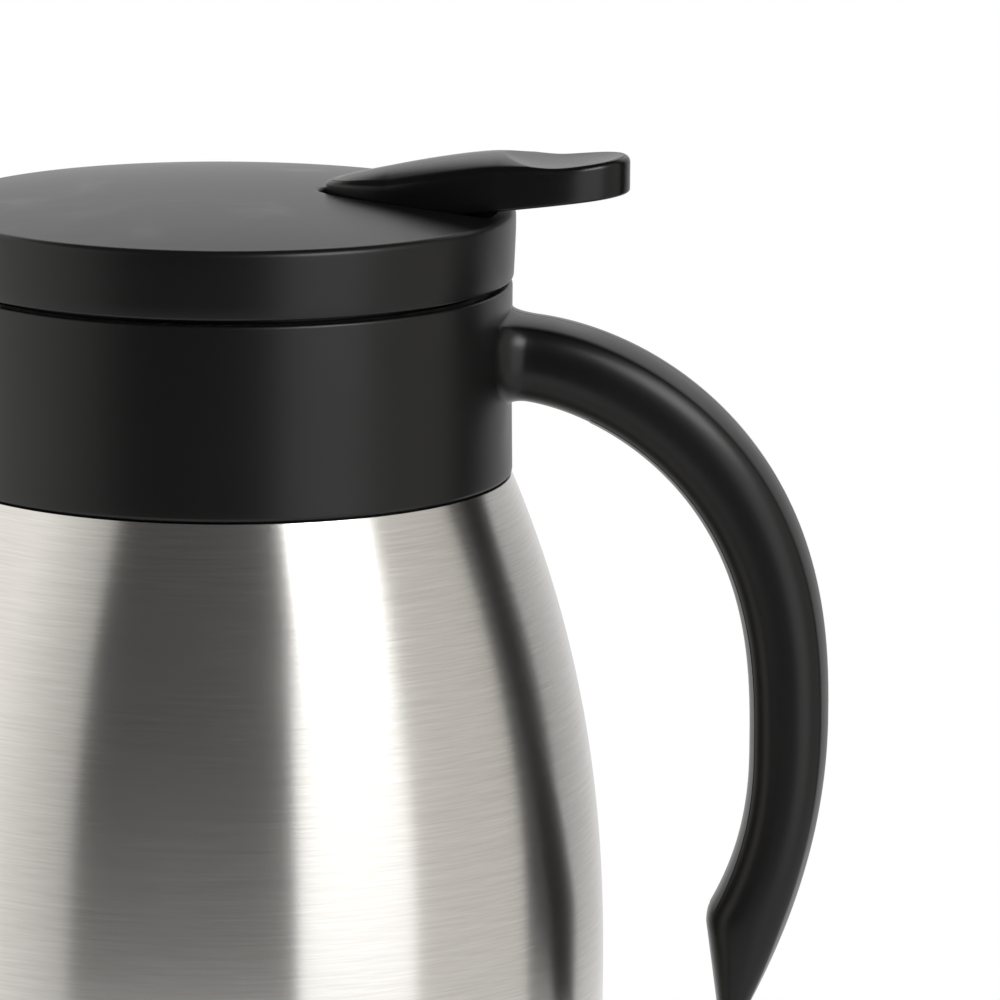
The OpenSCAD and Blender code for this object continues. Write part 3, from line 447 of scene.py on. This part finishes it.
def moulded_plastic(name, dark, light, rough, smooth, depth, line_share=0.3, shine=0.3):
    """Polypropylene from a finely grained tool: satin, with smoother patches where hands rub it."""
    material, tree = new_material(name)
    place = add_node(tree, "ShaderNodeTexCoord").outputs["Object"]
    skin = add_node(tree, "ShaderNodeGroup", node_tree=moulded_skin)
    tree.links.new(place, skin.inputs["Vector"])
    skin.inputs["Line Share"].default_value = line_share
    tone = add_node(tree, "ShaderNodeMix", {"Factor": skin.outputs["Cloud"], "A": (*dark, 1), "B": (*light, 1)},
                    data_type="RGBA")
    worn = add_node(tree, "ShaderNodeMapRange", {"Value": skin.outputs["Rubbed"], "To Min": rough,
                                                 "To Max": smooth})
    bump = add_node(tree, "ShaderNodeBump", {"Height": skin.outputs["Height"], "Strength": 1.0,
                                             "Distance": depth})
    plastic = add_node(tree, "ShaderNodeBsdfPrincipled", {
        "Base Color": tone.outputs["Result"], "Roughness": worn.outputs[0], "Normal": bump.outputs[0],
        "Specular IOR Level": shine})
    add_node(tree, "ShaderNodeOutputMaterial", {"Surface": plastic.outputs[0]})
    return material


white_plastic = moulded_plastic("natural plastic", (0.52, 0.52, 0.5), (0.6, 0.6, 0.58), 0.45, 0.38, 0.000004,
                                shine=0.5)
dress("inner_flask", flask_steel)
dress("neck_gasket", grey_silicone)
dress("thread_sleeve", white_plastic)

# Collar
# One black moulding grips the steel below and ends in a thin lip under the lid. Its lower edge is rounded and
# a little wider than its top, and its wall opens on the left into the spout.
black_plastic = moulded_plastic("black plastic", (0.0022, 0.0022, 0.0022), (0.0038, 0.0038, 0.0038), 0.34, 0.28,
                                0.000004)
collar_line = (
    [(47.5, 206)]
    + arc((49.3, 206.9), 0.9, -90, 0, 8)
    + [(50.18, 208.5), (50.12, 212.0), (50.03, 218.0)]
    + arc((49.3, 239.1), 0.7, 0, 90, 6)
    + [(47.5, 239.8), (47.5, 226.7), (39.4, 226.7), (39.4, 224.2), (47.5, 224.2), (47.5, 206)]
)
bm = bmesh.new()
spin_profile(bm, collar_line, steps=256)
collar_band = finish_piece("collar_band", bm, "jug", black_plastic, ["collar"])
# The mouth of the spout is cut through the band
mouth_size, mouth_place = (0.008, 0.026, 0.014), (-0.048, 0, 0.2357)
mouth_bm = bmesh.new()
bmesh.ops.create_cube(mouth_bm, size=1.0)
bmesh.ops.scale(mouth_bm, vec=mouth_size, verts=mouth_bm.verts)
bmesh.ops.translate(mouth_bm, vec=mouth_place, verts=mouth_bm.verts)
mouth_mesh = bpy.data.meshes.new("mouth_cutter")
mouth_bm.to_mesh(mouth_mesh)
mouth_bm.free()
mouth = bpy.data.objects.new("mouth_cutter", mouth_mesh)
bpy.context.scene.collection.objects.link(mouth)
opening = collar_band.modifiers.new("mouth", "BOOLEAN")
opening.object = mouth
opening.operation = "DIFFERENCE"
opening.solver = "EXACT"
bpy.context.view_layer.update()
cut_mesh = bpy.data.meshes.new_from_object(collar_band.evaluated_get(bpy.context.evaluated_depsgraph_get()))
collar_band.modifiers.clear()
collar_band.data = cut_mesh
cut_mesh.polygons.foreach_set("use_smooth", [True] * len(cut_mesh.polygons))
cut_mesh.set_sharp_from_angle(angle=math.radians(35))
bpy.data.objects.remove(mouth)

# Spout
# The pouring lip grows out of the same moulding like the bow of a boat: an even wall, full at the collar and
# drawn to a narrow lip that turns a little outwards.
spout_rows = 26
spout_columns = 32
root_x, spout_run = -47.2, 18.8
root_half, lip_radius, lip_x = 15.2, 5.0, -61
keel_start, keel_run = -47.6, 17.4
keel_low, keel_rise, spout_top = 215, 23.0, 240


def spout_point(along, across):
    """A point of the spout's outside: along from the collar to the lip, across from keel (0) to edge (1)."""
    side = math.copysign(abs(across), across)
    edge_x = root_x - spout_run * along
    edge_y = root_half * (1 - along ** 1.15) ** 0.62 if along < 1 else 0.0
    past_lip = max(0.0, (lip_x - edge_x) / lip_radius)
    lip_y = lip_radius * math.sqrt(max(0.0, 1 - past_lip ** 2)) if edge_x < -52 else 0
    edge_y = max(edge_y, lip_y)
    keel_x = keel_start - keel_run * along
    keel_z = keel_low + keel_rise * along ** 0.9
    swell = math.sin(abs(side) * math.pi / 2) ** 0.85
    rise = 1 - math.cos(side * math.pi / 2) ** 0.9
    x = keel_x + (edge_x - keel_x) * rise
    y = math.copysign(edge_y * swell, side)
    z = keel_z + (spout_top - keel_z) * rise
    return (x, y, z)


bm = bmesh.new()
row = [bm.verts.new(spout_point(0, -1 + 2 * j / spout_columns)) for j in range(spout_columns + 1)]
edges = [bm.edges.new(pair) for pair in zip(row, row[1:])]
for i in range(1, spout_rows + 1):
    grown = bmesh.ops.extrude_edge_only(bm, edges=edges)["geom"]
    edges = [e for e in grown if isinstance(e, bmesh.types.BMEdge) and all(v not in row for v in e.verts)]
    new_row = [v for v in grown if isinstance(v, bmesh.types.BMVert)]
    ordered = []
    for old in row:
        ordered.append(next(e.other_vert(old) for e in old.link_edges if e.other_vert(old) in new_row))
    for j, v in enumerate(ordered):
        v.co = spout_point(i / spout_rows, -1 + 2 * j / spout_columns)
    row = ordered
    edges = [e for e in edges if e.is_valid]
bmesh.ops.remove_doubles(bm, verts=bm.verts, dist=0.02)
spout = finish_piece("spout", bm, "jug", black_plastic, ["collar"], sharp=60)
wall = spout.modifiers.new("wall", "SOLIDIFY")
wall.thickness = 0.0022
wall.offset = -1
wall.use_even_offset = False

# Handle
# The hooked handle leaves the collar in a soft flare, arches out and down and ends in a hand stop and a
# narrow tail. Its outer face is broad and nearly flat, with the fine seam of the tool along its middle.
collar_radius, arch_low, under_low = 50.0, 164.0, 159.0
outer_reach, inner_reach = 106.0, 92.4
grip_half = 10.0
root_flare = 4.5
outer_height, outer_rise, outer_fullness = 70.5, 1.816, 2.43
inner_height, inner_rise, inner_fullness = 60.66, 1.666, 2.675
tail_in, tail_fall = 18.37, 60.9
stop_share, stop_in, stop_power, stop_fall = 0.6, 7.45, 2.336, 30
stop_reach, stop_height, heel_out, heel_fall = 84.95, 129, 3.7, 25.9
tail_end = 0.955


def outer_line(part, share):
    """The handle's outer edge seen from the side: the arch for part 0, the tail for part 1."""
    if part == 0:
        span = outer_reach - collar_radius
        rise = outer_height * (1 - share ** outer_rise) ** (1 / outer_fullness)
        return Vector((collar_radius + span * share, arch_low + rise))
    return Vector((outer_reach - tail_in * share * share, arch_low - tail_fall * share))


def inner_line(part, share):
    """The handle's inner edge seen from the side, with the hand stop at six tenths of the tail."""
    if part == 0:
        span = inner_reach - collar_radius
        rise = inner_height * (1 - share ** inner_rise) ** (1 / inner_fullness)
        return Vector((collar_radius + span * share, under_low + rise))
    if share < stop_share:
        down = share / stop_share
        return Vector((inner_reach - stop_in * down ** stop_power, under_low - stop_fall * down))
    down = (share - stop_share) / (1 - stop_share)
    return Vector((stop_reach + heel_out * down, stop_height - heel_fall * down))


def rounded_stop(share):
    """The inner edge of the tail with its corner at the hand stop rounded."""
    reach_round = 0.03 * max(0.0, 1 - abs(share - stop_share) / 0.1)
    picks = [inner_line(1, min(max(share + reach_round * k / 3, 0), 1)) for k in range(-3, 4)]
    return sum(picks, Vector((0, 0))) / len(picks)


def flare_left(share):
    """How much of the root's flare is left at a share of its length."""
    return 0.0 if share >= 1 else 1 - math.sqrt(1 - (1 - share) ** 2)


# Every station has the inner and outer point, the half width and how far it wraps round the collar
root_sink, flare_down, flare_up = 0.9, 0.8, 1.0
stations = [(inner_line(0, 0) - Vector((root_sink, flare_down)), outer_line(0, 0) + Vector((-root_sink, flare_up)),
             grip_half + root_flare, 1.0)]
for s in [0.0, 0.015, 0.04, 0.08, 0.13, 0.19, 0.26, 0.34, 0.43, 0.53, 0.64, 0.76, 0.88]:
    q = s * root_flare / (outer_reach - collar_radius)
    left = flare_left(s)
    down, up = Vector((0, flare_down * left)), Vector((0, flare_up * left))
    stations.append((inner_line(0, q) - down, outer_line(0, q) + up, grip_half + root_flare * left, 1 - 0.8 * s))
arch_steps, tail_steps, arch_start = 60, 52, 0.085
for i in range(arch_steps):
    turn = math.radians(86 * (1 - i / arch_steps))
    q = math.cos(turn) ** (2 / outer_rise)
    if q < arch_start:
        continue
    wrap = max(0.0, 0.2 * (1 - (q - arch_start) / 0.08))
    stations.append((inner_line(0, q), outer_line(0, q), grip_half, wrap))
arch_count = len(stations)
for u in [i / tail_steps * tail_end for i in range(tail_steps + 1)]:
    stations.append((rounded_stop(u), outer_line(1, u), grip_half * (1 - 0.3 * u ** 4), 0.0))


def grip_point(station, across, out):
    """A point of the handle's section, across from -1 to 1 and out from the inner face (-1) to the outer (1)."""
    inner, outer, half, wrap = station
    y = across * half
    mid = (inner + outer) / 2 + out * (outer - inner) / 2
    drawn = wrap * (collar_radius - math.sqrt(collar_radius ** 2 - y * y))
    return (mid.x - drawn, y, mid.y)


cap_half, cap_drop, thick = 7.5, 1.0, 6.8
side_level, inner_square = 0.7, 2.3


def section():
    """The grip's outline: a broad cap with a seam along its middle, two rounded sides and a full inner face."""
    side = []
    for k in range(1, 9):
        y = cap_half * k / 8
        side.append((y, thick - cap_drop * (y / cap_half) ** 2))
    start, lift, low, end = (cap_half + 0.25, 5.68), (9.5, 4.25), (grip_half, 2.7), (grip_half, side_level)
    for k in range(0, 11):
        t = k / 10
        weights = ((1 - t) ** 3, 3 * t * (1 - t) ** 2, 3 * t * t * (1 - t), t ** 3)
        side.append(tuple(sum(w * p[i] for w, p in zip(weights, (start, lift, low, end))) for i in (0, 1)))
    for k in range(1, 16):
        turn = math.pi / 2 * k / 16
        sink = (thick + side_level) * math.sin(turn) ** (2 / inner_square)
        side.append((grip_half * math.cos(turn) ** (2 / inner_square), side_level - sink))
    half = [(0.1, thick - 0.01), (0.3, thick)] + side
    points = [(0.0, thick - 0.22)] + half + [(0.0, -thick)] + [(-y, out) for y, out in reversed(half)]
    return [(y / grip_half, out / thick) for y, out in points]


def loft(bm, rings):
    """Joins closed rings of points into a skin: each ring is extruded from the one before it."""
    loop = [bm.verts.new(p) for p in rings[0]]
    edges = [bm.edges.new((loop[k], loop[(k + 1) % len(loop)])) for k in range(len(loop))]
    bm.faces.new(loop)
    for ring in rings[1:]:
        grown = bmesh.ops.extrude_edge_only(bm, edges=edges)["geom"]
        fresh = {v for v in grown if isinstance(v, bmesh.types.BMVert)}
        loop = [next(e.other_vert(v) for e in v.link_edges if e.other_vert(v) in fresh) for v in loop]
        for v, p in zip(loop, ring):
            v.co = p
        edges = [bm.edges.get((loop[k], loop[(k + 1) % len(loop)])) for k in range(len(loop))]
    bm.faces.new(loop)


outline = section()
rings = [[grip_point(s, across, out) for across, out in outline] for s in stations]
inner, outer, half, wrap = stations[-1]
for pull, drop in ((0.86, 0.5), (0.55, 0.85), (0.2, 0.98)):
    middle = (inner + outer) / 2
    drawn = (middle + (inner - middle) * pull, middle + (outer - middle) * pull, half - 1.6 * (1 - pull), 0.0)
    rings.append([Vector(grip_point(drawn, across, out)) + Vector((0.0, 0, -0.6 * drop)) for across, out in outline])
bm = bmesh.new()
loft(bm, rings)
finish_piece("handle", bm, "jug", black_plastic, ["collar"], sharp=55)

# Handle strip
# A black strip, pressed into the inner side of the hollow handle, closes it. A hair-wide gap shows round it.
strip_half, strip_depth, strip_sink = 5.85, 1.4, 0.012
side_out = side_level / thick
strip_first, strip_last = 24, arch_count + 31
bm = bmesh.new()
strip_rings = []
for station in stations[strip_first:strip_last + 1]:
    half = station[2]
    grip_depth = (station[1] - station[0]).length
    ring = []
    for k in range(9):
        y = strip_half * (1 - 2 * k / 8)
        face = side_out - (1 + side_out) * (1 - (abs(y) / half) ** inner_square) ** (1 / inner_square)
        ring.append(grip_point(station, y / half, face - strip_sink))
    for y in (-strip_half, strip_half):
        ring.append(grip_point(station, y / half, -1 + 2 * strip_depth / grip_depth))
    strip_rings.append(ring)
loft(bm, strip_rings)
finish_piece("handle_inner_strip", bm, "jug", black_plastic, ["handle_strip"])

# Lid
# The domed lid is one black moulding with a rounded rim and a slot for the lever, held on the stopper's plate
# by four screws from below. A silicone ring seals it, and the hinge pin crosses its two ears.
slot_centre = 32.0
slot_gap = 0.6
nose_gap = 1.3
rim_radius, lid_rim, dome_rise, lid_wall = 49.2, 252.6, 3.4, 2.2
slot_end_radius, pocket_radius = 47.0, 48.2
nose_end, peak_end, tip_end, lever_wide = 17.6, 47.5, 70.3, 10.0


def dome(r):
    """Height of the lid's top at a distance from the axis."""
    return lid_rim + dome_rise * (1 - (r / rim_radius) ** 2)


def lever_half(x, extra=0.0, nose_extra=0.0):
    """Half the lever's width: a blunt nose, a full middle and a round tip."""
    if x < peak_end:
        t = min(1.0, (peak_end - x) / (peak_end - nose_end + nose_extra))
        return (lever_wide + extra) * math.sqrt(max(0.0, 1 - t ** 2.2))
    t = min(1.0, (x - peak_end) / (tip_end - peak_end + extra))
    return (lever_wide + extra) * (1 - 0.08 * t) * math.sqrt(max(0.0, 1 - t ** 4.5))


def slot_reach(turn, gap):
    """How far the slot's edge lies from its centre in a direction."""
    near, wide = 0.0, 40.0
    for _ in range(40):
        d = (near + wide) / 2
        x, y = slot_centre + d * math.cos(turn), d * math.sin(turn)
        inside = math.hypot(x, y) < slot_end_radius + gap and abs(y) < lever_half(x, gap, gap - slot_gap + nose_gap)
        near, wide = (d, wide) if inside else (near, d)
    return near


def rim_reach(turn):
    """How far the lid's rim lies from the slot's centre in a direction."""
    along = slot_centre * math.cos(turn)
    return -along + math.sqrt(along * along - slot_centre ** 2 + rim_radius ** 2)


lid_turns = [math.tau * k / 240 for k in range(240)]
lid_rings = []
for gap, depth in ((slot_gap, 1.2), (slot_gap, 0.45), (slot_gap + 0.1, 0.2), (slot_gap + 0.25, 0.05),
                   (slot_gap + 0.4, 0.0)):
    ring = []
    for t in lid_turns:
        d = slot_reach(t, gap)
        x, y = slot_centre + d * math.cos(t), d * math.sin(t)
        ring.append((x, y, dome(math.hypot(x, y)) - depth))
    lid_rings.append(ring)
dome_steps = 26
for i in range(1, dome_steps + 1):
    share = (i / dome_steps) ** 1.3
    ring = []
    for t in lid_turns:
        start, end = slot_reach(t, slot_gap + 0.4), rim_reach(t)
        d = start + (end - start) * share
        x, y = slot_centre + d * math.cos(t), d * math.sin(t)
        ring.append((x, y, dome(min(rim_radius, math.hypot(x, y)))))
    lid_rings.append(ring)
rim_turns = [math.atan2(p[1], p[0]) for p in lid_rings[-1]]
edge_line = [p for p in reversed(arc((rim_radius, lid_rim - 1.3), 1.3, 0, 78, 7))]
edge_line += [(50.5, 249.0), (50.42, 246.5), (50.3, 243.5), (50.2, 241.15), (50.1, 240.85), (49.85, 240.7),
              (48.4, 240.7), (48.3, 243.0), (48.2, 249.6)]
for r, z in edge_line:
    lid_rings.append([(r * math.cos(t), r * math.sin(t), z) for t in rim_turns])
for share in (0.1, 0.3, 0.55, 0.8, 0.94, 1.0):
    ring = []
    for k, t in enumerate(lid_turns):
        end = slot_reach(t, slot_gap)
        x0, y0 = pocket_radius * math.cos(rim_turns[k]), pocket_radius * math.sin(rim_turns[k])
        x1, y1 = slot_centre + end * math.cos(t), end * math.sin(t)
        x, y = x0 + (x1 - x0) * share, y0 + (y1 - y0) * share
        ring.append((x, y, dome(math.hypot(x, y)) - lid_wall))
    lid_rings.append(ring)
bm = bmesh.new()
loft(bm, lid_rings)
for cap in [f for f in bm.faces if len(f.verts) == len(lid_turns)]:
    bm.faces.remove(cap)
bmesh.ops.bridge_loops(bm, edges=[e for e in bm.edges if e.is_boundary])
finish_piece("lid", bm, "lid", black_plastic, ["lid_cover"], sharp=50)
dress("lid_ring", grey_silicone)
dress("lid_screws", small_steel)
dress("hinge_pin", small_steel)

# Lever
# The thumb lever is moulded from a glossier grade: a long wedge with a blunt nose, rounded edges and a shallow
# dish for the thumb. It turns on the hinge pin, and the fork below it grips the valve's ring.
lever_plastic = moulded_plastic("lever plastic", (0.0014, 0.0014, 0.0014), (0.0024, 0.0024, 0.0024), 0.26, 0.21,
                                0.000002, line_share=0.0)
peak_height, crease_at, crease_bow = 262.8, 48.5, 6.0
edge_round, under_round = 1.4, 0.5
crown_rise, edge_fall, crown_more, crown_length = 5.4, 1.6, 0.45, 11
middle_hollow, edge_hollow = 1.9, 0.35
nose_lift, nose_bend = 2.6, 30
lever_low, under_rim, under_rim_x, under_slope = 252.0, 254.08, 50.5, math.tan(math.radians(6.4))


def bow(t):
    """How far the lever's cross lines run ahead at its edges, most at the crease where the dish begins."""
    return crease_bow * math.exp(-((t - crease_at) / 9) ** 2)


def crown(x, s):
    """Height of the lever's crowned part, before the dish."""
    back = max(0.0, (peak_end - x) / (peak_end - nose_end))
    ahead = max(0.0, x - crease_at)
    middle = peak_height - crown_rise * back ** 1.4 - 0.1 * ahead * ahead / (ahead + 1)
    fall = edge_fall + crown_more * math.sin(math.pi * min(1.0, back))
    fall *= min(1.0, (max(x - nose_end, 0) / crown_length) ** 0.8)
    return middle - (fall - 0.14 * ahead) * s * s


def lever_top(t, x, s):
    """Height of the lever's top: t is the place on its middle line, s the share of the way to its edge."""
    if t < crease_at:
        return crown(x, s)
    u = min(1.0, (t - crease_at) / (tip_end - crease_at))
    hollow = 5.1 * u * (1 - u) ** 1.4
    lost = peak_height - crown(crease_at + crease_bow * s * s, s)
    return peak_height - lost * (1 - u) ** 1.2 - hollow * (middle_hollow + (edge_hollow - middle_hollow) * s * s)


def top_round(x):
    """Radius of the rounding along the lever's upper edge, smallest at the nose."""
    return edge_round * (0.45 + 0.55 * min(1.0, (x - nose_end) / 14))


def lever_under(x):
    """Height of the lever's underside, which rises to the tip and, in a curve, to the nose."""
    line = max(lever_low, under_rim - (under_rim_x - x) * under_slope)
    return line + nose_lift * ((nose_bend - x) / (nose_bend - nose_end)) ** 2.5 if x < nose_bend else line


# Each rail runs from the middle line to the outline and has its place on both
rails = []
rail_count = 220
for k in range(rail_count + 1):
    x = (nose_end + tip_end) / 2 - (tip_end - nose_end) / 2 * math.cos(math.pi * k / rail_count)
    near, wide = nose_end - 1, tip_end
    for _ in range(40):
        t = (near + wide) / 2
        near, wide = (t, wide) if t + bow(t) < x else (near, t)
    rails.append((t, x, lever_half(x)))


def lever_loop(s, lift):
    """One loop of the lever's skin at a share of the way to the outline, out along one side and back."""
    loop = []
    for side, run in ((-1, rails), (1, rails[-2:0:-1])):
        for t, x, w in run:
            start = min(max(t, nose_end + 4.5), tip_end - 5.0)
            reach = math.hypot(x - start, w)
            share = max(0.0, 1 - s / reach) if s >= 0 else 1 + s
            own_x = start + bow(t) * share ** 2 + (x - start - bow(t)) * share
            own_t = own_x - bow(t) * share ** 2
            loop.append((own_x, side * w * share, lift(own_t, own_x, share)))
    return loop


def top_lift(share):
    """Heights on the top, sunk by a share of its rounding."""
    return lambda t, x, s: lever_top(t, x, s) - share * top_round(x)


def under_lift(rise):
    """Heights on the underside, raised by a length."""
    return lambda t, x, s: lever_under(x) + rise


def side_lift(part):
    """Heights on the upright side, at a part of the way from its lower to its upper rounding."""
    return lambda t, x, s: (lever_under(x) + under_round) * (1 - part) + (lever_top(t, x, s) - top_round(x)) * part


loops = [lever_loop(share, under_lift(0)) for share in (-1.0, -0.6, -0.25)]
for step in range(0, 5):
    a = math.radians(90 * step / 4)
    loops.append(lever_loop(under_round * (1 - math.sin(a)), under_lift(under_round * (1 - math.cos(a)))))
loops += [lever_loop(0.0, side_lift(part)) for part in (0.25, 0.5, 0.75)]
for step in range(0, 9):
    a = math.radians(90 - 90 * step / 8)
    loops.append(lever_loop(edge_round * (1 - math.sin(a)), top_lift(1 - math.cos(a))))
loops += [lever_loop(share, top_lift(0)) for share in (-0.2, -0.3, -0.4, -0.5, -0.6, -0.7, -0.8, -0.9, -1.0)]
bm = bmesh.new()
loft(bm, loops)
bmesh.ops.remove_doubles(bm, verts=bm.verts, dist=0.004)
finish_piece("lever_thumb_piece", bm, "lever", lever_plastic, ["lever"], sharp=60)

# The hub turns on the pin and carries the thumb piece on a wedge-shaped block
hub_at, hub_radius, block_half = (39.5, 248.0), 3.2, 9.0
hub_line = arc(hub_at, hub_radius, 180, 360, 24) + [(42.4, 253.4), (42.4, 254.0), (33.6, 254.0), (33.6, 253.4)]
bm = bmesh.new()
block_rings = []
for y, inset in ((block_half, 0.3), (block_half - 0.1, 0.1), (block_half - 0.3, 0.0), (-block_half + 0.3, 0.0),
                 (-block_half + 0.1, 0.1), (-block_half, 0.3)):
    ring = []
    for x, z in hub_line:
        out = Vector((x - hub_at[0], z - hub_at[1]))
        pulled = out * (1 - inset / out.length)
        ring.append((hub_at[0] + pulled.x, y, hub_at[1] + pulled.y))
    block_rings.append(ring)
loft(bm, block_rings)
finish_piece("lever_hub", bm, "lever", lever_plastic, ["lever"])
dress("lever_fork", lever_plastic)

# Stopper
# The threaded stopper hangs under the lid: a tube with three thread ribs, four pouring windows and the valve's
# seat. Its plate carries the guide of the stem, and grey silicone rings seal it.
dress("stopper", black_plastic)
dress("stopper_plate", black_plastic)
dress("stopper_gasket", grey_silicone)
dress("stem_wiper", grey_silicone)

# Valve
# The valve disc closes the stopper's floor from above. Its steel stem runs up through the guide and ends in
# the ring that the lever's fork lifts, and a coil spring of steel wire presses it back.
dress("valve_stem", small_steel)
dress("valve_disc", black_plastic)
dress("valve_seal", grey_silicone)
dress("stem_ring", small_steel)
dress("return_spring", small_steel)
